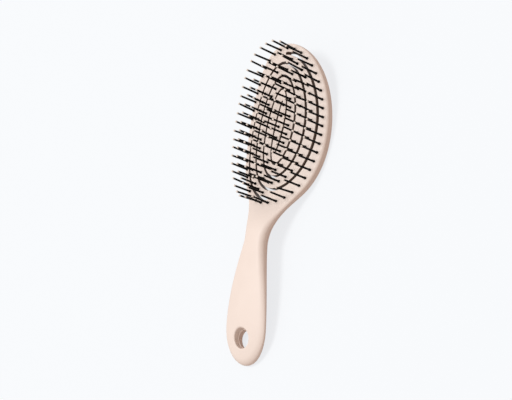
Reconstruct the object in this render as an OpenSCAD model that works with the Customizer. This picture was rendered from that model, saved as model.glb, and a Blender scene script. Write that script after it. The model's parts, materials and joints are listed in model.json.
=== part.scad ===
// Detangling brush: a paddle head with a springy double-spiral web, lying on its back.
// +Z is the side of the pins, +Y runs from the handle end to the top of the head.
// The origin is under the middle of the brush, on the surface it lies on.

/* [Head] */
// Width of the head across its middle
head_width = 80.6; // [72:0.2:90]
// Length of the head from its top down to where its oval would close
head_length = 121.2; // [112:0.2:134]
// Thickness of the solid rim
rim_thickness = 5.5; // [4.8:0.1:7]
// Radius of the rim's edges
rim_edge_radius = 1.3; // [0.8:0.1:2.2]
// Radius of the face across the head
dome_radius = 96.6; // [80:0.2:140]
// Radius of the slight hollow of the face along the head
hollow_radius = 756; // [500:1:1500]
// Rise of the face's middle over the length of the head
face_rise = 10.5; // [6:0.1:13]

/* [Web] */
// Width of the oval on which the two slots start
web_width = 74.2; // [68:0.2:76]
// Length of the oval on which the two slots start
web_length = 111.4; // [104:0.2:114]
// Thickness of the ribs of the web
web_thickness = 5.2; // [4:0.1:6]
// Distance from one slot to the next, middle to middle
slot_pitch = 9.4; // [8.8:0.1:9.6]
// How much further in than its oval each slot starts
slot_start_step = 2.5; // [1.8:0.1:3.2]
// Width of a slot where it starts near the rim
slot_width_outer = 2; // [1.5:0.1:2.6]
// Width of a slot where it ends near the core
slot_width_inner = 1.4; // [1.1:0.1:1.8]

/* [Handle] */
// Distance from the middle of the head to the end of the handle
handle_reach = 172.3; // [160:0.1:190]
// Width of the neck
neck_width = 19.8; // [18:0.1:26]
// Distance from the middle of the head to the neck's narrowest place
neck_distance = 85.5; // [78:0.5:88]
// Width of the grip at its widest place
grip_width = 39.4; // [32:0.1:42]
// Distance from the middle of the head to the grip's widest place
grip_distance = 146.5; // [138:0.5:152]
// Thickness of the handle along its middle line
handle_thickness = 10.4; // [9:0.1:12]
// Radius of the crown across the handle, front and back
handle_crown_radius = 56; // [52:1:90]
// Radius of the crown along the end of the handle, front and back
end_crown_radius = 200; // [150:1:400]
// Width of the rounded shoulder along each side of the handle
shoulder_width = 4.2; // [3:0.1:6]
// Height of the top of the handle's arch above the middle of the head's face
arch_rise = 5.3; // [3:0.1:7]
// Distance from the middle of the head to the top of the arch
arch_distance = 80; // [78:0.5:90]
// Radius of the arch along the handle
arch_radius = 335; // [280:1:420]

/* [Hanging hole] */
// Diameter of the hanging hole
hole_diameter = 13.2; // [11:0.1:17]
// Distance from the end of the handle to the middle of the hole
hole_distance = 18.2; // [15:0.1:24]

/* [Pins] */
// Length of a pin above the face, with its tip bead
pin_height = 17; // [14:0.1:20]
// Diameter of a pin's root
pin_root_diameter = 2; // [1.6:0.05:2.2]
// Height of the root above the face
pin_root_height = 1; // [0.7:0.05:1.4]
// Depth of a pin's socket
socket_depth = 3; // [2:0.1:3.4]
// Diameter of a pin's shaft above the root
pin_base_diameter = 1.4; // [1.1:0.05:1.5]
// Diameter of a pin's shaft under the tip bead
pin_end_diameter = 1.1; // [0.8:0.05:1.1]
// Diameter of a tip bead
bead_diameter = 1.7; // [1.4:0.05:2]
// Distance between neighbouring pins on the web's ribs
pin_spacing = 6.5; // [6:0.1:7.5]
// Distance between neighbouring pins on the core
core_pin_spacing = 8; // [7:0.1:9]
// Distance from the head's edge to the ring of pins on the rim
rim_pin_inset = 3.8; // [3.4:0.1:4.2]
// Number of pins on the rim
rim_pins = 45; // [36:1:47]
// Number of pins on the core
core_pins = 5; // [3:2:5]

/* [Hidden] */
// How far cuts run past what they cut
overrun = 3;
// Gap between a pin's root and its socket
socket_clearance = 0.02;
// Place along a rib of the first pin after each start of a half turn
outer_pin_lead = 6;
middle_pin_lead = 2.1;
inner_pin_lead = 2.5;
// Distance from the middle of the head to where the oval runs out into the neck
neck_start = 47;
// Half the distance over which the head's flat section turns into the handle's
section_change_half = 16;
// How far along the rim the first pin sits from the top
rim_pin_shift = 0.5;
// How far the pins along the rim sway from even spacing
rim_pin_sway = 1.3;
// How far the core's middle pin sits below the middle of the head
core_pin_shift = 0.5;
// How far the core's last pin sits to the side, as the core runs aslant
core_pin_sway = 2.2;
// Half the height of the flat along the handle's parting line
parting_land = 0.15;

// Counts that set how fine the surfaces are
head_steps = 24;
neck_steps = 6;
grip_steps = 10;
end_steps = 9;
corner_steps = 4;
across_steps = 12;
slab_across = 12;
slab_along = 16;
slot_steps = 24;
path_steps = 90;
round_fn = 48;
pin_fn = 16;

// Shares that shape the ovals, chosen by eye: how much narrower the top is, and how square
egg_share = -0.036;
square_share = 0.085;
web_egg_share = -0.078;
// How soon the grip widens beyond the neck: less is sooner
grip_fullness_share = 0.62;
// Share of a turn in which a slot settles on its spiral
settle_share = 0.25;

body_colour = [0.95, 0.86, 0.81];
pin_colour = [0.08, 0.07, 0.07];
bead_colour = [0.86, 0.77, 0.69];

// Smooth step from 0 to 1
function ease(share) =
    let (s = max(0, min(1, share)))
    s * s * (3 - 2 * s);

// Curve from one value to another with a given slope at each end
function bridge(s, from, to, slope_from, slope_to) =
    from * (1 - ease(s)) + to * ease(s)
    + slope_from * s * (1 - s) * (1 - s)
    - slope_to * s * s * (1 - s);

// How much the section at a place along the brush is the head's, from 0 to 1
function head_share(y) =
    ease((y + neck_start + 2 * section_change_half) / (2 * section_change_half));

// Height of the face along the middle line, with the middle of the head at zero
face_slope = face_rise / head_length;
function head_crest(y) = face_slope * y + y * y / (2 * hollow_radius);
function arch_crest(y) = arch_rise - pow(y + arch_distance, 2) / (2 * arch_radius);
neck_run = arch_distance - neck_start;
neck_start_slope = face_slope - neck_start / hollow_radius;
function neck_crest(y) =
    bridge((-y - neck_start) / neck_run, head_crest(-neck_start), arch_rise,
        -neck_start_slope * neck_run, 0);
function crest(y) =
    y >= -neck_start ? head_crest(y) :
    y >= -arch_distance ? neck_crest(y) :
    arch_crest(y);

// How far the handle's front and back fall away from its middle line and towards its end
function crown(x, y) =
    x * x / (2 * handle_crown_radius)
    + pow(max(0, -y - grip_distance), 2) / (2 * end_crown_radius);

// Height of the face at any place: it falls away to both sides
function face(x, y) =
    crest(y) - head_share(y) * x * x / (2 * dome_radius) - (1 - head_share(y)) * crown(x, y);
function on_face(p) = [p[0], p[1], face(p[0], p[1])];

// Depth from the face to the back at any place
function depth(x, y) =
    handle_thickness + (rim_thickness - handle_thickness) * head_share(y)
    - 2 * (1 - head_share(y)) * crown(x, y);
function edge_width(y) =
    shoulder_width + (rim_edge_radius - shoulder_width) * head_share(y);
function edge_height(p) =
    let (half = depth(p[0], p[1]) / 2 - parting_land)
    half + (rim_edge_radius - half) * head_share(p[1]);

// Oval of the head's edge, drawn in by an inset, with the angle from the top, clockwise
function head_oval(angle, inset) =
    [(head_width / 2 - inset) * sin(angle)
        * (1 + egg_share * cos(angle) + square_share * pow(cos(angle), 2)),
     (head_length / 2 - inset) * cos(angle)];

// Right-hand outline of the whole brush, from the top of the head to the handle's end
neck_angle = acos(-2 * neck_start / head_length);
neck_join = head_oval(neck_angle, 0);
join_before = head_oval(neck_angle - 1, 0);
join_slope = (join_before[0] - neck_join[0]) / (join_before[1] - neck_join[1]);
neck_length = neck_distance - neck_start;
grip_length = grip_distance - neck_distance;
end_length = handle_reach - grip_distance;
function neck_side(s) =
    [bridge(s, neck_join[0], neck_width / 2, -join_slope * neck_length, 0),
     -neck_start - s * neck_length];
function grip_side(s) =
    [neck_width / 2 + (grip_width - neck_width) / 2 * pow(ease(s), grip_fullness_share),
     -neck_distance - s * grip_length];
function end_side(angle) =
    [grip_width / 2 * cos(angle), -grip_distance - end_length * sin(angle)];
outline = concat(
    [for (i = [0 : head_steps - 1]) head_oval(neck_angle * i / head_steps, 0)],
    [for (i = [0 : neck_steps - 1]) neck_side(i / neck_steps)],
    [for (i = [0 : grip_steps - 1]) grip_side(i / grip_steps)],
    [for (i = [0 : end_steps]) end_side(90 * i / end_steps)]
);
last = len(outline) - 1;

// Outward direction of the outline at a point
function turned(v) = [-v[1], v[0]] / norm(v);
function outward(i) =
    i == 0 ? [0, 1] :
    i == last ? [0, -1] :
    turned(outline[i + 1] - outline[i - 1]);

// Points up the edge of one section: round the lower corner, then round the upper one
column = 2 * (corner_steps + 1);
function edge_point(i, k) =
    let (
        y = outline[i][1],
        upper = k > corner_steps,
        angle = 90 * (upper ? k - corner_steps - 1 : corner_steps - k) / corner_steps,
        inset = edge_width(y) * (1 - cos(angle)),
        p = outline[i] - inset * outward(i),
        drop = edge_height(outline[i]) * (1 - sin(angle)),
        level = upper ? -drop : drop - depth(p[0], p[1])
    )
    [i == 0 || i == last ? 0 : p[0], p[1], face(p[0], p[1]) + level];
function mirrored(p) = [-p[0], p[1], p[2]];

// Points across the top or the bottom of a section, between its two edges
function across_point(i, k, s) =
    let (p = edge_point(i, k), x = p[0] * (1 - 2 * s), y = p[1])
    [x, y, face(x, y) - (k == 0 ? depth(x, y) : 0)];
ring = 2 * column + 2 * (across_steps - 1);
function section(i) = concat(
    [for (k = [0 : column - 1]) edge_point(i, k)],
    [for (j = [1 : across_steps - 1]) across_point(i, column - 1, j / across_steps)],
    [for (k = [column - 1 : -1 : 0]) mirrored(edge_point(i, k))],
    [for (j = [across_steps - 1 : -1 : 1]) across_point(i, 0, j / across_steps)]
);
function end_section(i) = [for (k = [0 : column - 1]) edge_point(i, k)];

body_points = concat(
    end_section(0),
    [for (i = [1 : last - 1]) each section(i)],
    end_section(last)
);

// Which point of the list a place on a section is: the two ends are a single column
function column_of(j) =
    j < column ? j :
    j < column + across_steps - 1 ? column - 1 :
    j < 2 * column + across_steps - 1 ? 2 * column + across_steps - 2 - j :
    0;
function index_of(i, j) =
    let (around = j % ring)
    i == 0 ? column_of(around) :
    i == last ? column + (last - 1) * ring + column_of(around) :
    column + (i - 1) * ring + around;
function is_face(f) = f[0] != f[1] && f[1] != f[2] && f[2] != f[0];
body_faces = [
    for (i = [0 : last - 1])
        for (j = [0 : ring - 1])
            for (f = [
                [index_of(i, j), index_of(i + 1, j), index_of(i + 1, j + 1)],
                [index_of(i, j), index_of(i + 1, j + 1), index_of(i, j + 1)]
            ])
                if (is_face(f)) f
];

// Where the middle of the head's face lies in the brush's own frame
head_place = [
    0,
    (handle_reach - head_length / 2) / 2,
    -min([for (p = body_points) p[2]])
];

// The two slots wind inwards from one oval; turns count from each slot's start
function slot_inset(turns) =
    2 * slot_pitch * turns + slot_start_step * pow(max(0, 1 - turns / settle_share), 2);
function slot_half_width(turns) =
    (slot_width_outer + (slot_width_inner - slot_width_outer) * turns / 2) / 2;
function spiral(phase, turns, inset) =
    let (angle = 360 * turns + phase)
    [(web_width / 2 - inset) * sin(angle) * (1 + web_egg_share * cos(angle)),
     (web_length / 2 - inset) * cos(angle)];
function slot_outer_edge(phase, turns) =
    spiral(phase, turns, slot_inset(turns) - slot_half_width(turns));
function slot_inner_edge(phase, turns) =
    spiral(phase, turns, slot_inset(turns) + slot_half_width(turns));
function half_turn(start) = [for (i = [0 : slot_steps]) start + i / slot_steps / 2];

// A rib lies between one slot and the other, which is half a turn further on
function rib_outline(phase, start) = concat(
    [for (t = half_turn(start)) slot_inner_edge(phase, t)],
    [for (i = [slot_steps : -1 : 0]) slot_outer_edge(phase + 180, start + (1 + i / slot_steps) / 2)]
);
function rib_path(phase, start) = [
    for (i = [0 : path_steps])
        let (t = start + i / path_steps / 2)
        on_face(spiral(phase, t, (slot_inset(t) + slot_inset(t + 1 / 2)) / 2))
];
opening_outline = concat(
    [for (t = half_turn(0)) slot_outer_edge(0, t)],
    [for (t = half_turn(0)) slot_outer_edge(180, t)]
);
core_outline = concat(
    [for (t = half_turn(3 / 2)) slot_inner_edge(180, t)],
    [for (t = half_turn(3 / 2)) slot_inner_edge(0, t)]
);

// Places along a path, given as distances from its start
function distances(path) = [
    for (i = 0, s = 0; i < len(path); s = s + norm(path[min(i + 1, len(path) - 1)] - path[i]), i = i + 1) s
];
function at(path, lengths, s) = [
    for (axis = [0 : 2])
        lookup(s, [for (i = [0 : len(path) - 1]) [lengths[i], path[i][axis]]])
];

// Places of the pins on the face
function rib_pins(phase, start, lead) =
    let (
        path = rib_path(phase, start),
        lengths = distances(path),
        room = lengths[len(path) - 1] - lead - pin_root_diameter / 2
    )
    [for (i = [0 : floor(room / pin_spacing)]) at(path, lengths, lead + i * pin_spacing)];
rim_path = [for (i = [0 : 4 * path_steps]) on_face(head_oval(360 * i / (4 * path_steps), rim_pin_inset))];
rim_places =
    let (lengths = distances(rim_path), all = lengths[len(rim_path) - 1])
    [for (i = [0 : rim_pins - 1])
        at(rim_path, lengths, all * i / rim_pins + rim_pin_shift + rim_pin_sway * sin(720 * i / rim_pins))];
core_pin_reach = (core_pins - 1) / 2 * core_pin_spacing + core_pin_shift;
core_places = [
    for (i = [0 : core_pins - 1])
        let (y = (i - (core_pins - 1) / 2) * core_pin_spacing - core_pin_shift)
        on_face([core_pin_sway * y / core_pin_reach, y])
];

module at_head() {
    translate(head_place) children();
}

module body_solid() {
    polyhedron(body_points, body_faces, convexity = 6);
}

module opening() {
    linear_extrude(2 * (head_width + overrun), center = true) polygon(opening_outline);
}

// Round start of a slot, half of it in the rim
module slot_start(phase) {
    translate(spiral(phase, 0, slot_inset(0)))
        cylinder(h = 2 * head_width, r = slot_half_width(0), center = true, $fn = round_fn);
}

module socket(place) {
    translate([place[0], place[1], place[2] - socket_depth])
        cylinder(h = socket_depth + overrun, r = pin_root_diameter / 2 + socket_clearance, $fn = pin_fn);
}

// The hanging hole runs straight down, as the mould draws
hole_y = hole_distance - handle_reach;
module hanging_hole() {
    translate([0, hole_y, arch_crest(hole_y)])
        cylinder(h = 2 * grip_width, r = hole_diameter / 2, center = true, $fn = round_fn);
}

module handle_and_rim() {
    color(body_colour) at_head() difference() {
        body_solid();
        opening();
        slot_start(0);
        slot_start(180);
        hanging_hole();
        for (place = rim_places) socket(place);
    }
}

// The web before its slots are cut: a curved plate under the face
slab_width = web_width + 2 * overrun;
slab_length = web_length + 2 * overrun;
slab_row = slab_across + 1;
slab_layer = slab_row * (slab_along + 1);
slab_points = [
    for (depth = [web_thickness, 0])
        for (i = [0 : slab_along])
            for (j = [0 : slab_across])
                let (
                    x = slab_width * (j / slab_across - 1 / 2),
                    y = slab_length * (i / slab_along - 1 / 2)
                )
                [x, y, face(x, y) - depth]
];
function slab_index(layer, i, j) = layer * slab_layer + i * slab_row + j;
function two_triangles(a, b, c, d) = [[a, b, c], [a, c, d]];
slab_faces = concat(
    [for (i = [0 : slab_along - 1], j = [0 : slab_across - 1])
        each two_triangles(slab_index(0, i, j), slab_index(0, i, j + 1),
            slab_index(0, i + 1, j + 1), slab_index(0, i + 1, j))],
    [for (i = [0 : slab_along - 1], j = [0 : slab_across - 1])
        each two_triangles(slab_index(1, i, j), slab_index(1, i + 1, j),
            slab_index(1, i + 1, j + 1), slab_index(1, i, j + 1))],
    [for (i = [0 : slab_along - 1])
        each two_triangles(slab_index(0, i, 0), slab_index(0, i + 1, 0),
            slab_index(1, i + 1, 0), slab_index(1, i, 0))],
    [for (i = [0 : slab_along - 1])
        each two_triangles(slab_index(0, i, slab_across), slab_index(1, i, slab_across),
            slab_index(1, i + 1, slab_across), slab_index(0, i + 1, slab_across))],
    [for (j = [0 : slab_across - 1])
        each two_triangles(slab_index(0, 0, j), slab_index(1, 0, j),
            slab_index(1, 0, j + 1), slab_index(0, 0, j + 1))],
    [for (j = [0 : slab_across - 1])
        each two_triangles(slab_index(0, slab_along, j), slab_index(0, slab_along, j + 1),
            slab_index(1, slab_along, j + 1), slab_index(1, slab_along, j))]
);

// One stretch of the web inside its outline, drilled for its pins
module web_piece(edge, places) {
    color(body_colour) at_head() difference() {
        intersection() {
            polyhedron(slab_points, slab_faces, convexity = 6);
            linear_extrude(2 * (head_width + overrun), center = true) polygon(edge);
        }
        for (place = places) socket(place);
    }
}

module web_core() {
    color(body_colour) at_head() difference() {
        intersection() {
            polyhedron(slab_points, slab_faces, convexity = 6);
            linear_extrude(2 * (head_width + overrun), center = true) polygon(core_outline);
        }
        for (phase = [0, 180])
            translate(spiral(phase, 2, slot_inset(2)))
                cylinder(h = 2 * head_width, r = slot_half_width(2), center = true, $fn = round_fn);
        for (place = core_places) socket(place);
    }
}

// A pin: a round root that fills its socket, and a slim shaft
shaft_height = pin_height - bead_diameter;
root_floor = socket_clearance - socket_depth;
module pin() {
    rotate_extrude($fn = pin_fn) polygon([
        [0, root_floor],
        [pin_root_diameter / 2, root_floor],
        [pin_root_diameter / 2, pin_root_height / 2],
        [(pin_root_diameter + pin_base_diameter) / 4, pin_root_height],
        [pin_base_diameter / 2, pin_root_height],
        [pin_end_diameter / 2, shaft_height],
        [0, shaft_height],
    ]);
}

// A bead on the end of a pin, flat underneath where it sits on the shaft
bead_seat_angle = asin(pin_end_diameter / bead_diameter);
bead_steps = 5;
module bead() {
    translate([0, 0, shaft_height + bead_diameter / 2 * cos(bead_seat_angle)])
        rotate_extrude($fn = pin_fn) polygon(concat(
            [[0, -bead_diameter / 2 * cos(bead_seat_angle)]],
            [for (i = [0 : bead_steps])
                let (angle = bead_seat_angle + (180 - bead_seat_angle) * i / bead_steps)
                [i == bead_steps ? 0 : bead_diameter / 2 * sin(angle), -bead_diameter / 2 * cos(angle)]]
        ));
}

module pins(places) {
    color(pin_colour) at_head() for (place = places) translate(place) pin();
}

module tips(places) {
    color(bead_colour) at_head() for (place = places) translate(place) bead();
}

// Each arm is three half turns long: arm a starts at the top, arm b at the neck
outer_start = 0;
middle_start = 1 / 2;
inner_start = 1;
a_outer_places = rib_pins(0, outer_start, outer_pin_lead);
a_middle_places = rib_pins(0, middle_start, middle_pin_lead);
a_inner_places = rib_pins(0, inner_start, inner_pin_lead);
b_outer_places = rib_pins(180, outer_start, outer_pin_lead);
b_middle_places = rib_pins(180, middle_start, middle_pin_lead);
b_inner_places = rib_pins(180, inner_start, inner_pin_lead);

module web_a_outer() { web_piece(rib_outline(0, outer_start), a_outer_places); }
module web_a_middle() { web_piece(rib_outline(0, middle_start), a_middle_places); }
module web_a_inner() { web_piece(rib_outline(0, inner_start), a_inner_places); }
module web_b_outer() { web_piece(rib_outline(180, outer_start), b_outer_places); }
module web_b_middle() { web_piece(rib_outline(180, middle_start), b_middle_places); }
module web_b_inner() { web_piece(rib_outline(180, inner_start), b_inner_places); }

module pins_rim() { pins(rim_places); }
module pins_a_outer() { pins(a_outer_places); }
module pins_a_middle() { pins(a_middle_places); }
module pins_a_inner() { pins(a_inner_places); }
module pins_b_outer() { pins(b_outer_places); }
module pins_b_middle() { pins(b_middle_places); }
module pins_b_inner() { pins(b_inner_places); }
module pins_core() { pins(core_places); }

module tips_rim() { tips(rim_places); }
module tips_a_outer() { tips(a_outer_places); }
module tips_a_middle() { tips(a_middle_places); }
module tips_a_inner() { tips(a_inner_places); }
module tips_b_outer() { tips(b_outer_places); }
module tips_b_middle() { tips(b_middle_places); }
module tips_b_inner() { tips(b_inner_places); }
module tips_core() { tips(core_places); }

handle_and_rim();
web_a_outer();
web_a_middle();
web_a_inner();
web_b_outer();
web_b_middle();
web_b_inner();
web_core();
pins_rim();
pins_a_outer();
pins_a_middle();
pins_a_inner();
pins_b_outer();
pins_b_middle();
pins_b_inner();
pins_core();
tips_rim();
tips_a_outer();
tips_a_middle();
tips_a_inner();
tips_b_outer();
tips_b_middle();
tips_b_inner();
tips_core();
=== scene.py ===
"""Looks of the detangling brush: a pale pink moulded body, black nylon pins and beige tip beads.

Shapes are worked out in millimetres from the middle of the head's face, as in the CAD source, with
+Y towards the top of the head and +Z towards the pins, and are set down in the frame in metres.
"""

import json
import math
import random
from dataclasses import dataclass

import bmesh
import bpy
import numpy as np
from mathutils import Matrix, Vector
from mathutils.geometry import delaunay_2d_cdt

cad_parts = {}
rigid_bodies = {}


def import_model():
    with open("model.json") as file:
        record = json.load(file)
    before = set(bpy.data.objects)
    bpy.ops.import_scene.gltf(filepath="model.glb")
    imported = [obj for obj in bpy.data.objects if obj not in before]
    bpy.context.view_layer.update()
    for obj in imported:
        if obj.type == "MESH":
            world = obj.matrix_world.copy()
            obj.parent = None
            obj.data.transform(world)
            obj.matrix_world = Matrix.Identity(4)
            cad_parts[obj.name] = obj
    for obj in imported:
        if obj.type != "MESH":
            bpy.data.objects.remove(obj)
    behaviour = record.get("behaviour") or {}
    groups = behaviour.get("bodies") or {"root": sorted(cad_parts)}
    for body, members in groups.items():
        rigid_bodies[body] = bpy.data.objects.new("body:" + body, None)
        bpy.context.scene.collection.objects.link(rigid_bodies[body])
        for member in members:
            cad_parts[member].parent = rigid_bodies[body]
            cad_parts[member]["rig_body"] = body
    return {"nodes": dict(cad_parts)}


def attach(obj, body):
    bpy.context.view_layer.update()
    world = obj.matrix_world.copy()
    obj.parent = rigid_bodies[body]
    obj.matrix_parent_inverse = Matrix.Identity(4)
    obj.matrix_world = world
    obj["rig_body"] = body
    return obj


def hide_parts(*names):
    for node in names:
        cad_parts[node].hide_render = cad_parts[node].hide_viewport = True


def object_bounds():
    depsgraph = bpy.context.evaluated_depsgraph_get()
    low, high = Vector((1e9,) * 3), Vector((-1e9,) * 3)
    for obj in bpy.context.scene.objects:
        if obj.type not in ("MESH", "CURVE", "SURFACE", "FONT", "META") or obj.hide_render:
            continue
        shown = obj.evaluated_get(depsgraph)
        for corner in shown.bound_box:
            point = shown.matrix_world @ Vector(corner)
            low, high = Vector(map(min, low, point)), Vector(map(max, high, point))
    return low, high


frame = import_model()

CAD_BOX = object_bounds()

# Units and directions
MM = 0.001
RIGHT_ANGLE = math.pi / 2
TURN = 2 * math.pi

# Head, in millimetres
HEAD_WIDTH = 80.6
HEAD_LENGTH = 121.2
HEAD_HEIGHT = 15.518
RIM_THICKNESS = 5.5
RIM_EDGE_RADIUS = 1.3
DOME_RADIUS = 96.6
HOLLOW_RADIUS = 756
FACE_RISE = 10.5
EGG_SHARE = -0.036
SQUARE_SHARE = 0.085

# Web
WEB_WIDTH = 74.2
WEB_LENGTH = 111.4
WEB_THICKNESS = 5.2
WEB_EGG_SHARE = -0.078
SLOT_PITCH = 9.4
SLOT_START_STEP = 2.5
SLOT_WIDTH_OUTER = 2
SLOT_WIDTH_INNER = 1.4
SETTLE_SHARE = 0.25
SLOT_TURNS = 2
SLOT_EDGE_RADIUS = 0.3

# Handle
HANDLE_REACH = 172.3
NECK_START = 47
SECTION_CHANGE = 32
NECK_WIDTH = 19.8
NECK_DISTANCE = 85.5
GRIP_WIDTH = 39.4
GRIP_DISTANCE = 146.5
GRIP_FULLNESS_SHARE = 0.62
HANDLE_THICKNESS = 10.4
HANDLE_CROWN_RADIUS = 56
END_CROWN_RADIUS = 200
PARTING_LAND = 0.15
SHOULDER_WIDTH = 4.2
ARCH_RISE = 5.3
ARCH_DISTANCE = 80
ARCH_RADIUS = 335

# Hanging hole
HOLE_DIAMETER = 13.2
HOLE_DISTANCE = 18.2
HOLE_LIP_RADIUS = 1.2
HOLE_DRAFT = 0.25
HOLE_RIDGE_HEIGHT = 0.27
HOLE_LAND = 0.6

# Parting line of the mould, half-way down every outer side
RIDGE_HEIGHT = 0.12
RIDGE_HALF_WIDTH = 0.28

# Pins and beads
SOCKET_FLOOR = 2.98
ROOT_RADIUS = 1.0
ROOT_HEIGHT = 1.0
SHAFT_HEIGHT = 15.5
SHAFT_BASE_RADIUS = 0.78
SHAFT_END_RADIUS = 0.67
BEAD_RADIUS = 0.82
PIN_LEAN_DEGREES = 1.6
PIN_LEAN_LIMIT_DEGREES = 3.2
PIN_GROUP_REACH = 3
PIN_SIDES = 14
BEAD_RINGS = 9
SEED = 7

# Name of the vertex values that tell how deep in a slot a place on the body is, from 0 to 1: they
# set how much painted shade the slot walls get
SHADE = "slot_shade"

# How fine the surfaces are, in millimetres and counts
EDGE_SPACING = 1.1
GRID_SPACING = 1.9
SHOULDER_STEPS = 9
EDGE_STEPS = 4
DENSE_STEPS = 4000
CUT_POINTS = 4
SLOT_END_SKIP = 3
SLOT_END_STEPS = 16
HOLE_STEPS = 72
GRID_CLEARANCE_SHARE = 2 / 3
SAME_PLACE = 0.001
TRIANGULATION_TOLERANCE = 1e-7
SHARP_DEGREES = 38


def ease(share):
    """Smooth step from 0 to 1."""
    s = np.clip(share, 0, 1)
    return s * s * (3 - 2 * s)


def bridge(s, start, end, start_slope, end_slope):
    """Curve from one value to another with a given slope at each end."""
    blend = start * (1 - ease(s)) + end * ease(s)
    return blend + start_slope * s * (1 - s) ** 2 - end_slope * s * s * (1 - s)


def head_share(y):
    """How much the section at a place along the brush is the head's, from 0 to 1."""
    return ease((y + NECK_START + SECTION_CHANGE) / SECTION_CHANGE)


FACE_SLOPE = FACE_RISE / HEAD_LENGTH
NECK_START_SLOPE = FACE_SLOPE - NECK_START / HOLLOW_RADIUS
NECK_RUN = ARCH_DISTANCE - NECK_START


def head_crest(y):
    return FACE_SLOPE * y + y * y / (2 * HOLLOW_RADIUS)


def crest(y):
    """Height of the face along the middle line."""
    arch = ARCH_RISE - (y + ARCH_DISTANCE) ** 2 / (2 * ARCH_RADIUS)
    along_neck = np.clip((-y - NECK_START) / NECK_RUN, 0, 1)
    neck = bridge(along_neck, head_crest(-NECK_START), ARCH_RISE, -NECK_START_SLOPE * NECK_RUN, 0)
    return np.where(y >= -NECK_START, head_crest(y), np.where(y >= -ARCH_DISTANCE, neck, arch))


def between(handle_value, head_value, y):
    return handle_value + (head_value - handle_value) * head_share(y)


def crown(x, y):
    """How far the handle's front and back fall away from its middle line and towards its end."""
    beyond = np.maximum(0, -y - GRIP_DISTANCE)
    return x * x / (2 * HANDLE_CROWN_RADIUS) + beyond * beyond / (2 * END_CROWN_RADIUS)


def face(x, y):
    """Height of the face at any place: it falls away to both sides."""
    return crest(y) - between(crown(x, y), x * x / (2 * DOME_RADIUS), y)


def body_depth(x, y):
    return between(HANDLE_THICKNESS - 2 * crown(x, y), RIM_THICKNESS, y)


def web_depth(x, y):
    return np.full_like(x, WEB_THICKNESS)


def head_oval(angle):
    """Edge of the head, with the angle from its top, clockwise."""
    squared = 1 + EGG_SHARE * np.cos(angle) + SQUARE_SHARE * np.cos(angle) ** 2
    return np.stack([HEAD_WIDTH / 2 * np.sin(angle) * squared, HEAD_LENGTH / 2 * np.cos(angle)], 1)


def resampled(points, spacing):
    """The same open line with evenly spaced points, both ends kept."""
    steps = np.linalg.norm(np.diff(points, axis=0), axis=1)
    lengths = np.concatenate([[0], np.cumsum(steps)])
    count = max(2, round(lengths[-1] / spacing)) + 1
    at = np.linspace(0, lengths[-1], count)
    return np.stack([np.interp(at, lengths, column) for column in points.T], 1)


def body_outline():
    """Outline of the whole brush, clockwise from the top of the head, as a closed line."""
    neck_angle = math.acos(-2 * NECK_START / HEAD_LENGTH)
    head = head_oval(np.linspace(0, neck_angle, DENSE_STEPS))
    join = head[-1]
    join_slope = (head[-2][0] - join[0]) / (head[-2][1] - join[1])
    neck_length = NECK_DISTANCE - NECK_START
    s = np.linspace(0, 1, DENSE_STEPS)[1:]
    neck_x = bridge(s, join[0], NECK_WIDTH / 2, -join_slope * neck_length, 0)
    neck = np.stack([neck_x, -NECK_START - s * neck_length], 1)
    grip_x = NECK_WIDTH / 2 + (GRIP_WIDTH - NECK_WIDTH) / 2 * ease(s) ** GRIP_FULLNESS_SHARE
    grip = np.stack([grip_x, -NECK_DISTANCE - s * (GRIP_DISTANCE - NECK_DISTANCE)], 1)
    end_length = HANDLE_REACH - GRIP_DISTANCE
    angle = s * RIGHT_ANGLE
    end_y = -GRIP_DISTANCE - end_length * np.sin(angle)
    end = np.stack([GRIP_WIDTH / 2 * np.cos(angle), end_y], 1)
    right = resampled(np.concatenate([head, neck, grip, end]), EDGE_SPACING)
    left = right[-2:0:-1] * [-1, 1]
    return np.concatenate([right, left])


def slot_inset(turns):
    settling = np.maximum(0, 1 - turns / SETTLE_SHARE) ** 2
    return 2 * SLOT_PITCH * turns + SLOT_START_STEP * settling


def slot_half_width(turns):
    return (SLOT_WIDTH_OUTER + (SLOT_WIDTH_INNER - SLOT_WIDTH_OUTER) * turns / SLOT_TURNS) / 2


def spiral(phase, turns, inset):
    """Places on the oval spiral, which winds clockwise and inwards; the phase is in turns."""
    angle = TURN * (turns + phase)
    x = (WEB_WIDTH / 2 - inset) * np.sin(angle) * (1 + WEB_EGG_SHARE * np.cos(angle))
    return np.stack([x, (WEB_LENGTH / 2 - inset) * np.cos(angle)], -1)


def slot_edge(phase, start, side):
    """One side of a slot over half a turn: side is -1 for the outer edge and 1 for the inner."""
    t = start + np.linspace(0, 1 / 2, DENSE_STEPS)
    line = resampled(spiral(phase, t, slot_inset(t) + side * slot_half_width(t)), EDGE_SPACING)
    line[[0, -1], 0] = 0
    return line


def slot_round(phase, turns, sideways):
    """Round end of a slot, from its inner edge to its outer one; sideways is -1 to the left."""
    middle = spiral(phase, turns, slot_inset(turns))
    radius = slot_half_width(turns)
    outwards = math.copysign(1, middle[1])
    angle = np.linspace(-RIGHT_ANGLE, RIGHT_ANGLE, SLOT_END_STEPS + 1)
    arc = np.stack([sideways * radius * np.cos(angle), outwards * radius * np.sin(angle)], 1)
    arc[[0, -1], 0] = 0
    return [0, middle[1]] + arc


@dataclass
class Edge:
    """A closed edge of a plate in plan, walked with the material on the right."""

    points: np.ndarray
    inward: np.ndarray
    width: np.ndarray
    height: np.ndarray
    steps: int
    ridge: float = 0
    draft: float = 0


def inward_of(along):
    right = np.stack([along[:, 1], -along[:, 0]], 1)
    return right / np.linalg.norm(right, axis=1)[:, None]


def closed_edge(points, width, height, steps, ridge, draft=0):
    along = np.roll(points, -1, 0) - np.roll(points, 1, 0)
    return Edge(points, inward_of(along), width, height, steps, ridge, draft)


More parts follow.
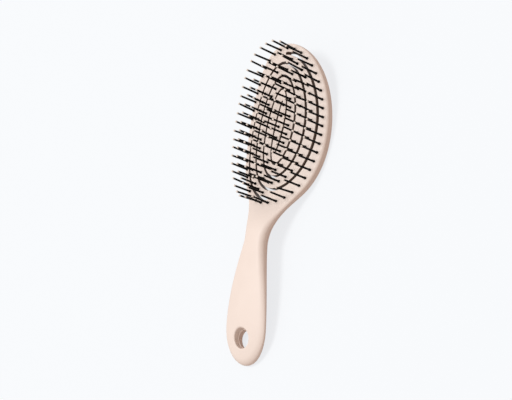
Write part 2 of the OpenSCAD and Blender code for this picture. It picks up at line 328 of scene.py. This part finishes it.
def cut_edge(chains):
    """An edge of chains with rounded rims that are joined by straight cuts on the middle line."""
    inwards = []
    for chain in chains:
        inward = inward_of(np.gradient(chain, axis=0))
        for end in (0, -1):
            inward[end] = [0, math.copysign(1, inward[end][1])]
        inwards.append(inward)
    points, directions, reach = [], [], []
    for i, chain in enumerate(chains):
        after = (i + 1) % len(chains)
        cut_start = chain[-1] + inwards[i][-1] * SLOT_EDGE_RADIUS
        cut_end = chains[after][0] + inwards[after][0] * SLOT_EDGE_RADIUS
        shares = np.linspace(0, 1, CUT_POINTS + 2)[1:-1, None]
        cut = cut_start + shares * (cut_end - cut_start)
        points += [chain, cut]
        directions += [inwards[i], np.zeros_like(cut)]
        reach += [np.full(len(chain), SLOT_EDGE_RADIUS), np.zeros(len(cut))]
    reach = np.concatenate(reach)
    return Edge(np.concatenate(points), np.concatenate(directions), reach, reach, EDGE_STEPS)


def inside(places, loops):
    """Which places lie inside the loops, counting a loop within a loop as a hole."""
    odd = np.zeros(len(places), bool)
    px, py = places[:, 0, None], places[:, 1, None]
    for loop in loops:
        ax, ay = loop.T
        bx, by = np.roll(loop, -1, 0).T
        crosses = (ay > py) != (by > py)
        run = np.where(by == ay, 1, by - ay)
        left = px < ax + (bx - ax) * (py - ay) / run
        odd ^= (crosses & left).sum(1) % 2 == 1
    return odd


def filled(loops, spacing):
    """Triangles that fill the space between closed loops, and the places of their corners."""
    rim = np.concatenate(loops)
    low, high = rim.min(0), rim.max(0)
    row_step = spacing * math.sqrt(3) / 2
    rows = np.arange(low[1], high[1], row_step)
    columns = np.arange(low[0], high[0], spacing)
    grid = np.array([(x + (i % 2) * spacing / 2, y) for i, y in enumerate(rows) for x in columns])
    grid = grid[inside(grid, loops)]
    clearance = spacing * GRID_CLEARANCE_SHARE
    clear = [np.min(np.linalg.norm(rim - p, axis=1)) > clearance for p in grid]
    places = np.concatenate([rim, grid[clear]])
    sides, first = [], 0
    for loop in loops:
        count = len(loop)
        sides += [(first + i, first + (i + 1) % count) for i in range(count)]
        first += count
    made = delaunay_2d_cdt([Vector(p) for p in places], sides, [], 0, TRIANGULATION_TOLERANCE)
    source = [ids[0] for ids in made[3]]
    triangles = np.array([[source[v] for v in f] for f in made[2]])
    kept = inside(places[triangles].mean(1), loops)
    return triangles[kept], places


def set_down(places):
    """Places in millimetres from the middle of the head, as places in the frame in metres."""
    top = CAD_BOX[1].y / MM - HEAD_LENGTH / 2
    return (np.asarray(places, float) + [0, top, HEAD_HEIGHT]) * MM


def as_object(node, vertices, faces, material, slot, shades=()):
    """A smooth shaded mesh that stands for a CAD node and rides on that node's body."""
    name = node + "_visual"
    mesh = bpy.data.meshes.new(name)
    # A curve may pass the CAD's facets by a hair, and is kept inside their box
    places = np.clip(set_down(vertices), *np.array(CAD_BOX))
    mesh.from_pydata(places.tolist(), [], faces)
    if len(shades):
        mesh.attributes.new(SHADE, "FLOAT", "POINT").data.foreach_set("value", shades)
    work = bmesh.new()
    work.from_mesh(mesh)
    bmesh.ops.remove_doubles(work, verts=work.verts, dist=SAME_PLACE * MM)
    bmesh.ops.recalc_face_normals(work, faces=work.faces)
    for piece in work.faces:
        piece.smooth = True
    for line in work.edges:
        line.smooth = line.calc_face_angle(0) < math.radians(SHARP_DEGREES)
    work.to_mesh(mesh)
    work.free()
    made = bpy.data.objects.new(name, mesh)
    bpy.context.scene.collection.objects.link(made)
    mesh.materials.append(material)
    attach(made, frame["nodes"][node]["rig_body"])
    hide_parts(node)
    return made


def wall_rows(edge, upper, lower):
    """Rows of places down a side wall: it carries the fine ridge of the parting line."""
    if not edge.ridge:
        return [(upper + lower) / 2]
    out = np.pad(-edge.inward, ((0, 0), (0, 1)))
    middle = (upper + lower) / 2 + out * edge.draft
    down = (lower - upper) / (upper - lower)[:, 2:] * RIDGE_HALF_WIDTH
    return [middle - down, middle + out * edge.ridge, middle + down]


def plate(node, edges, depth, material):
    """A plate under the face: rounded along its edges, filled between them, above and below."""
    vertices, shades, faces, count = [], [], [], 0

    def level(x, y, drop):
        return np.stack([x, y, face(x, y) - drop], 1)

    tops, bottoms, loops = [], [], []
    for edge in edges:
        x0, y0 = edge.points.T
        mid = depth(x0, y0) / 2
        height = np.minimum(edge.height, mid - (RIDGE_HALF_WIDTH if edge.ridge else 0))
        rows = []
        for below in (False, True):
            side = []
            for k in range(edge.steps + 1):
                angle = RIGHT_ANGLE * k / edge.steps
                inset = edge.ridge + edge.draft + edge.width * (1 - math.cos(angle))
                x, y = (edge.points + edge.inward * inset[:, None]).T
                drop = height * (1 - math.sin(angle))
                side.append(level(x, y, depth(x, y) - drop if below else drop))
            rows.append(side)
        above, beneath = rows
        column = above[::-1] + wall_rows(edge, above[0], beneath[0]) + beneath
        size = len(edge.points)
        # Painted shade in the slots: none on the face, most half-way down a slot's wall, none on
        # the outer edge, the hole or the straight cuts
        falling = np.linspace(0, 1, len(column) // 2 + 1)
        down = np.concatenate([falling, falling[-2::-1]])
        shades.append(np.outer(down, (edge.width > 0) & (not edge.ridge)).ravel())
        for r in range(len(column) - 1):
            a, b = count + r * size, count + (r + 1) * size
            faces += [(a + i, a + (i + 1) % size, b + (i + 1) % size, b + i) for i in range(size)]
        vertices += column
        tops.append(np.arange(count, count + size))
        bottoms.append(np.arange(count, count + size) + (len(column) - 1) * size)
        loops.append(column[0][:, :2])
        count += len(column) * size

    triangles, places = filled(loops, GRID_SPACING)
    rim = sum(len(loop) for loop in loops)
    x, y = places[rim:].T
    vertices += [level(x, y, 0), level(x, y, depth(x, y))]
    index_above = np.concatenate(tops + [np.arange(count, count + len(x))])
    index_below = np.concatenate(bottoms + [np.arange(count + len(x), count + 2 * len(x))])
    faces += index_above[triangles].tolist() + index_below[triangles][:, ::-1].tolist()
    shades.append(np.zeros(2 * len(x)))
    places, shades = np.concatenate(vertices), np.concatenate(shades)
    made = as_object(node, places, faces, material, "body", shades)
    made.modifiers.new("even shading", "WEIGHTED_NORMAL").keep_sharp = True


HOLE_Y = HOLE_DISTANCE - HANDLE_REACH


def hole_edge():
    """Edge of the hanging hole, which narrows a little towards its parting line."""
    angle = np.linspace(0, TURN, HOLE_STEPS, endpoint=False)
    radius = HOLE_DIAMETER / 2
    points = np.stack([radius * np.cos(angle), HOLE_Y + radius * np.sin(angle)], 1)
    lip = np.full(len(points), HOLE_LIP_RADIUS)
    return closed_edge(points, lip, lip, 2 * EDGE_STEPS, HOLE_RIDGE_HEIGHT, HOLE_DRAFT)


def make_body(material):
    outline = body_outline()
    x, y = outline.T
    from_hole = np.hypot(x, y - HOLE_Y)
    room = from_hole - HOLE_DIAMETER / 2 - HOLE_DRAFT - HOLE_LIP_RADIUS - HOLE_LAND
    outer = closed_edge(
        outline,
        np.minimum(between(SHOULDER_WIDTH, RIM_EDGE_RADIUS, y), room),
        between(body_depth(x, y) / 2 - PARTING_LAND, RIM_EDGE_RADIUS, y),
        SHOULDER_STEPS,
        RIDGE_HEIGHT,
    )
    chains = []
    for phase, sideways in ((0, -1), (1 / 2, 1)):
        start = slot_round(phase, 0, sideways)
        chains.append(np.concatenate([start, slot_edge(phase, 0, -1)[1:]])[::-1])
    plate("handle_and_rim", [outer, cut_edge(chains), hole_edge()], body_depth, material)


def make_web(material):
    starts = (("outer", 0), ("middle", 1 / 2), ("inner", 1))
    for arm, phase in (("a", 0), ("b", 1 / 2)):
        for stretch, start in starts:
            outer = slot_edge(phase, start, 1)
            inner = slot_edge(phase + 1 / 2, start + 1 / 2, -1)[::-1]
            plate(f"web_{arm}_{stretch}", [cut_edge([outer, inner])], web_depth, material)
    chains = []
    for phase, sideways in ((1 / 2, -1), (0, 1)):
        side = slot_edge(phase, SLOT_TURNS - 1 / 2, 1)
        end = slot_round(phase, SLOT_TURNS, sideways)[SLOT_END_SKIP:]
        away = np.linalg.norm(side - spiral(phase, SLOT_TURNS, slot_inset(SLOT_TURNS)), axis=1)
        chains.append(np.concatenate([side[away > SLOT_WIDTH_INNER], end]))
    plate("web_core", [cut_edge(chains)], web_depth, material)


def places_of(node):
    """Where each pin of a CAD node stands, in millimetres from the middle of the head's face."""
    left = np.array([v.co for v in frame["nodes"][node].data.vertices]) / MM
    left -= set_down([[0, 0, 0]])[0] / MM
    found = []
    while len(left):
        near = np.linalg.norm(left[:, :2] - left[0, :2], axis=1) < PIN_GROUP_REACH
        pin = left[near]
        middle = (pin.min(0) + pin.max(0)) / 2
        found.append((middle[0], middle[1], pin[:, 2].min() + SOCKET_FLOOR))
        left = left[~near]
    return sorted(found)


def lathed(profile, place, turned, sides):
    """Vertices and faces of one turned shape, set up at a place; the profile ends on its axis."""
    angles = [TURN * i / sides for i in range(sides)]
    rings = [[(r * math.cos(a), r * math.sin(a), z) for a in angles] for r, z in profile[1:-1]]
    points = [(0, 0, profile[0][1])] + sum(rings, []) + [(0, 0, profile[-1][1])]
    vertices = [place + turned @ Vector(p) for p in points]
    last = len(points) - 1
    faces = []
    for i in range(sides):
        j = (i + 1) % sides
        faces.append((0, 1 + j, 1 + i))
        for ring in range(len(rings) - 1):
            a, b = 1 + ring * sides, 1 + (ring + 1) * sides
            faces.append((a + i, a + j, b + j, b + i))
        a = last - sides
        faces.append((a + i, a + j, last))
    return vertices, faces


def pin_profile():
    """Half section of a pin: a root that fills its socket, a fillet, and a tapering shaft."""
    shoulder = ROOT_RADIUS - SHAFT_BASE_RADIUS
    steps = [RIGHT_ANGLE * k / EDGE_STEPS for k in range(EDGE_STEPS + 1)]
    fillet = [
        (SHAFT_BASE_RADIUS + shoulder * math.cos(a), ROOT_HEIGHT - shoulder * (1 - math.sin(a)))
        for a in steps[:-1]
    ]
    return [
        (0, -SOCKET_FLOOR),
        (ROOT_RADIUS, -SOCKET_FLOOR),
        (ROOT_RADIUS, 0),
        *fillet,
        (SHAFT_BASE_RADIUS, ROOT_HEIGHT),
        ((SHAFT_BASE_RADIUS + SHAFT_END_RADIUS) / 2, (ROOT_HEIGHT + SHAFT_HEIGHT) / 2),
        (SHAFT_END_RADIUS, SHAFT_HEIGHT),
        (0, SHAFT_HEIGHT),
    ]


def bead_profile():
    """Half section of a tip bead, which sits a little over the end of its shaft."""
    seat = math.asin(SHAFT_END_RADIUS / BEAD_RADIUS)
    middle = SHAFT_HEIGHT + BEAD_RADIUS * math.cos(seat)
    angles = [seat + (math.pi - seat) * k / BEAD_RINGS for k in range(BEAD_RINGS)]
    curve = [(BEAD_RADIUS * math.sin(a), middle - BEAD_RADIUS * math.cos(a)) for a in angles]
    return [(0, SHAFT_HEIGHT), *curve, (0, middle + BEAD_RADIUS)]


def make_pins(pin_material, bead_material):
    """Every pin and its bead, leaning a little at random about its root as nylon pins do."""
    chance = random.Random(SEED)
    for node in sorted(name for name in frame["nodes"] if name.startswith("pins_")):
        pins, beads = ([], []), ([], [])
        for place in places_of(node):
            degrees = chance.gauss(0, PIN_LEAN_DEGREES)
            degrees = max(-PIN_LEAN_LIMIT_DEGREES, min(PIN_LEAN_LIMIT_DEGREES, degrees))
            lean = math.radians(degrees)
            towards = Matrix.Rotation(chance.uniform(0, math.pi), 3, "Z") @ Vector((1, 0, 0))
            turned = Matrix.Rotation(lean, 3, towards)
            for (vertices, faces), profile in ((pins, pin_profile()), (beads, bead_profile())):
                points, sides = lathed(profile, Vector(place), turned, PIN_SIDES)
                faces += [tuple(len(vertices) + i for i in side) for side in sides]
                vertices += points
        as_object(node, *pins, pin_material, "pins")
        as_object(node.replace("pins_", "tips_"), *beads, bead_material, "tips")


# Noise in the plastics: its usual span, the detail of each layer, and the strength of the grain
NOISE_SPAN = (0.3, 0.7)
BLOTCH_DETAIL = 3
SMEAR_DETAIL = 4
SMEARS_PER_BLOTCH = 4
GRAIN_DETAIL = 2
GRAIN_STRENGTH = 0.5


def new_material(name):
    material = bpy.data.materials.new(name)
    material.use_nodes = True
    nodes = material.node_tree.nodes
    return material, nodes, material.node_tree.links, nodes["Principled BSDF"]


def add_noise(nodes, links, scale, detail, source):
    noise = nodes.new("ShaderNodeTexNoise")
    noise.inputs["Scale"].default_value = scale
    noise.inputs["Detail"].default_value = detail
    links.new(source.outputs["Object"], noise.inputs["Vector"])
    return noise.outputs["Fac"]


def add_ramp(nodes, links, value, low, high):
    """Maps a noise value to a range of colours or numbers."""
    ramp = nodes.new("ShaderNodeValToRGB")
    for stop, position, colour in zip(ramp.color_ramp.elements, NOISE_SPAN, (low, high)):
        stop.position = position
        stop.color = (*colour, 1)
    links.new(value, ramp.inputs["Fac"])
    return ramp.outputs["Color"]


def add_bump(nodes, links, value, strength, distance, shader):
    bump = nodes.new("ShaderNodeBump")
    bump.inputs["Strength"].default_value = strength
    bump.inputs["Distance"].default_value = distance
    links.new(value, bump.inputs["Height"])
    links.new(bump.outputs["Normal"], shader.inputs["Normal"])


def plastic(name, dark, pale, rough, specular, grain_scale, grain_depth, blotch_scale):
    """Moulded plastic: blotches of two near colours, uneven gloss and a fine grain."""
    material, nodes, links, shader = new_material(name)
    shader.inputs["Specular IOR Level"].default_value = specular
    source = nodes.new("ShaderNodeTexCoord")
    blotches = add_noise(nodes, links, blotch_scale, BLOTCH_DETAIL, source)
    links.new(add_ramp(nodes, links, blotches, dark, pale), shader.inputs["Base Color"])
    smears = add_noise(nodes, links, blotch_scale * SMEARS_PER_BLOTCH, SMEAR_DETAIL, source)
    roughness = add_ramp(nodes, links, smears, [rough[0]] * 3, [rough[1]] * 3)
    links.new(roughness, shader.inputs["Roughness"])
    grain = add_noise(nodes, links, grain_scale, GRAIN_DETAIL, source)
    add_bump(nodes, links, grain, GRAIN_STRENGTH, grain_depth, shader)
    return material, shader


def mix_base(material, shader, share, tone):
    """Mixes a tone into a shader's base colour, by the share that a socket gives."""
    nodes, links = material.node_tree.nodes, material.node_tree.links
    base = shader.inputs["Base Color"]
    mixed = nodes.new("ShaderNodeMix")
    mixed.data_type = "RGBA"
    # The node's colour sockets come after those for numbers and vectors
    factor, first, second = mixed.inputs[0], mixed.inputs[6], mixed.inputs[7]
    first.default_value = base.default_value
    if base.is_linked:
        links.new(base.links[0].from_socket, first)
    second.default_value = (*tone, 1)
    links.new(share, factor)
    links.new(mixed.outputs[2], base)


def paint_slot_shade(material, shader, tone):
    """Paints shade on the walls inside the slots: deepens their colour where little light comes
    in.
    """
    depth = material.node_tree.nodes.new("ShaderNodeAttribute")
    depth.attribute_name = SHADE
    mix_base(material, shader, depth.outputs["Fac"], tone)


def make_materials():
    pink, shader = plastic(
        "soft_touch_pink",
        dark=(0.86, 0.72, 0.64),
        pale=(0.89, 0.75, 0.67),
        rough=(0.46, 0.54),
        specular=0.35,
        grain_scale=1400,
        grain_depth=0.00003,
        blotch_scale=45,
    )
    # Painted shade: a dark brown mixed into the pink on the slot walls, deepest half-way down them
    paint_slot_shade(pink, shader, tone=(0.17, 0.10, 0.065))
    black, _ = plastic(
        "black_nylon",
        dark=(0.002, 0.0015, 0.0015),
        pale=(0.004, 0.0035, 0.003),
        rough=(0.38, 0.50),
        specular=0.06,
        grain_scale=2500,
        grain_depth=0.00002,
        blotch_scale=220,
    )
    beige, _ = plastic(
        "beige_bead",
        dark=(0.82, 0.72, 0.64),
        pale=(0.86, 0.76, 0.68),
        rough=(0.30, 0.40),
        specular=0.5,
        grain_scale=3000,
        grain_depth=0.00001,
        blotch_scale=500,
    )
    return pink, black, beige


# Stage: what the floor and the sky show to the camera, and what light they throw on the brush
FLOOR_SIZE = 8
FLOOR_ROUGHNESS = 0.9
FLOOR_SPECULAR = 0.1
FLOOR_SEEN = (0.86, 0.87, 0.86)
FLOOR_BOUNCE = (0.46, 0.33, 0.27)
FLOOR_GLOW = (0.95, 0.97, 1.0)
FLOOR_GLOW_SHARE = 0.8
SKY_SEEN = (0.92, 0.93, 0.94)
SKY_LIGHT = (1.0, 0.93, 0.88)
SKY_STRENGTH = 0.52

# The one lamp: where it stands from the middle of the brush in metres, its size and its power
KEY = {"place": (-0.35, 0.05, 2.85), "size": 1.0, "power": 50, "colour": (0.94, 0.975, 1.0)}

# Camera, fitted to the photograph: turned about the brush's own Y, X and Z, one after the other
CAMERA_YAW = 47.446
CAMERA_PITCH = 10.069
CAMERA_ROLL = 11.287
CAMERA_DISTANCE = 1013.4
CAMERA_ACROSS = 16.57
CAMERA_UP = 52.98
CAMERA_LENS = 99.10
CAMERA_SENSOR = 36


def seen_share(nodes, links):
    """1 for a ray from the camera, or by gloss or glass, and 0 for one that carries light."""
    path = nodes.new("ShaderNodeLightPath")
    share = path.outputs["Is Camera Ray"]
    for kind in ("Is Glossy Ray", "Is Transmission Ray"):
        either = nodes.new("ShaderNodeMath")
        either.operation = "MAXIMUM"
        links.new(share, either.inputs[0])
        links.new(path.outputs[kind], either.inputs[1])
        share = either.outputs[0]
    return share


def make_floor():
    """Pale floor that keeps the brush's soft shadow; what it throws back is darker and warmer."""
    half = FLOOR_SIZE / 2
    mesh = bpy.data.meshes.new("floor")
    corners = [(-half, -half, 0), (half, -half, 0), (half, half, 0), (-half, half, 0)]
    mesh.from_pydata(corners, [], [(0, 1, 2, 3)])
    floor = bpy.data.objects.new("floor", mesh)
    bpy.context.scene.collection.objects.link(floor)
    material, nodes, links, shader = new_material("pale_floor")
    shader.inputs["Base Color"].default_value = (*FLOOR_BOUNCE, 1)
    shader.inputs["Roughness"].default_value = FLOOR_ROUGHNESS
    shader.inputs["Specular IOR Level"].default_value = FLOOR_SPECULAR
    seen = seen_share(nodes, links)
    mix_base(material, shader, seen, FLOOR_SEEN)
    glow = nodes.new("ShaderNodeEmission")
    glow.inputs["Color"].default_value = (*FLOOR_GLOW, 1)
    share = nodes.new("ShaderNodeMath")
    share.operation = "MULTIPLY"
    share.inputs[1].default_value = FLOOR_GLOW_SHARE
    mixed = nodes.new("ShaderNodeMixShader")
    links.new(seen, share.inputs[0])
    links.new(share.outputs[0], mixed.inputs["Fac"])
    links.new(shader.outputs[0], mixed.inputs[1])
    links.new(glow.outputs[0], mixed.inputs[2])
    links.new(mixed.outputs[0], nodes["Material Output"].inputs["Surface"])
    mesh.materials.append(material)


def make_sky():
    world = bpy.data.worlds.new("sky")
    world.use_nodes = True
    nodes, links = world.node_tree.nodes, world.node_tree.links
    light = nodes["Background"]
    light.inputs["Color"].default_value = (*SKY_LIGHT, 1)
    light.inputs["Strength"].default_value = SKY_STRENGTH
    backdrop = nodes.new("ShaderNodeBackground")
    backdrop.inputs["Color"].default_value = (*SKY_SEEN, 1)
    mixed = nodes.new("ShaderNodeMixShader")
    links.new(seen_share(nodes, links), mixed.inputs["Fac"])
    links.new(light.outputs[0], mixed.inputs[1])
    links.new(backdrop.outputs[0], mixed.inputs[2])
    links.new(mixed.outputs[0], nodes["World Output"].inputs["Surface"])
    bpy.context.scene.world = world


def make_lamp(name, place, size, power, colour):
    data = bpy.data.lights.new(name, "AREA")
    data.size = size
    data.energy = power
    data.color = colour
    lamp = bpy.data.objects.new(name, data)
    bpy.context.scene.collection.objects.link(lamp)
    lamp.location = place
    lamp.rotation_euler = (-Vector(place)).to_track_quat("-Z", "Y").to_euler()


def make_camera():
    data = bpy.data.cameras.new("camera")
    data.lens = CAMERA_LENS
    data.sensor_width = CAMERA_SENSOR
    camera = bpy.data.objects.new("camera", data)
    bpy.context.scene.collection.objects.link(camera)
    turned = (
        Matrix.Rotation(math.radians(CAMERA_YAW), 4, "Y")
        @ Matrix.Rotation(math.radians(CAMERA_PITCH), 4, "X")
        @ Matrix.Rotation(math.radians(CAMERA_ROLL), 4, "Z")
    )
    seen_from = turned @ Vector((-CAMERA_ACROSS, -CAMERA_UP, CAMERA_DISTANCE))
    camera.matrix_world = Matrix.Translation(set_down([seen_from])[0]) @ turned
    bpy.context.scene.camera = camera


pink, black, beige = make_materials()
make_body(pink)
make_web(pink)
make_pins(black, beige)
make_floor()
make_sky()
make_lamp("key", **KEY)
make_camera()
bpy.context.scene.view_settings.view_transform = "Standard"
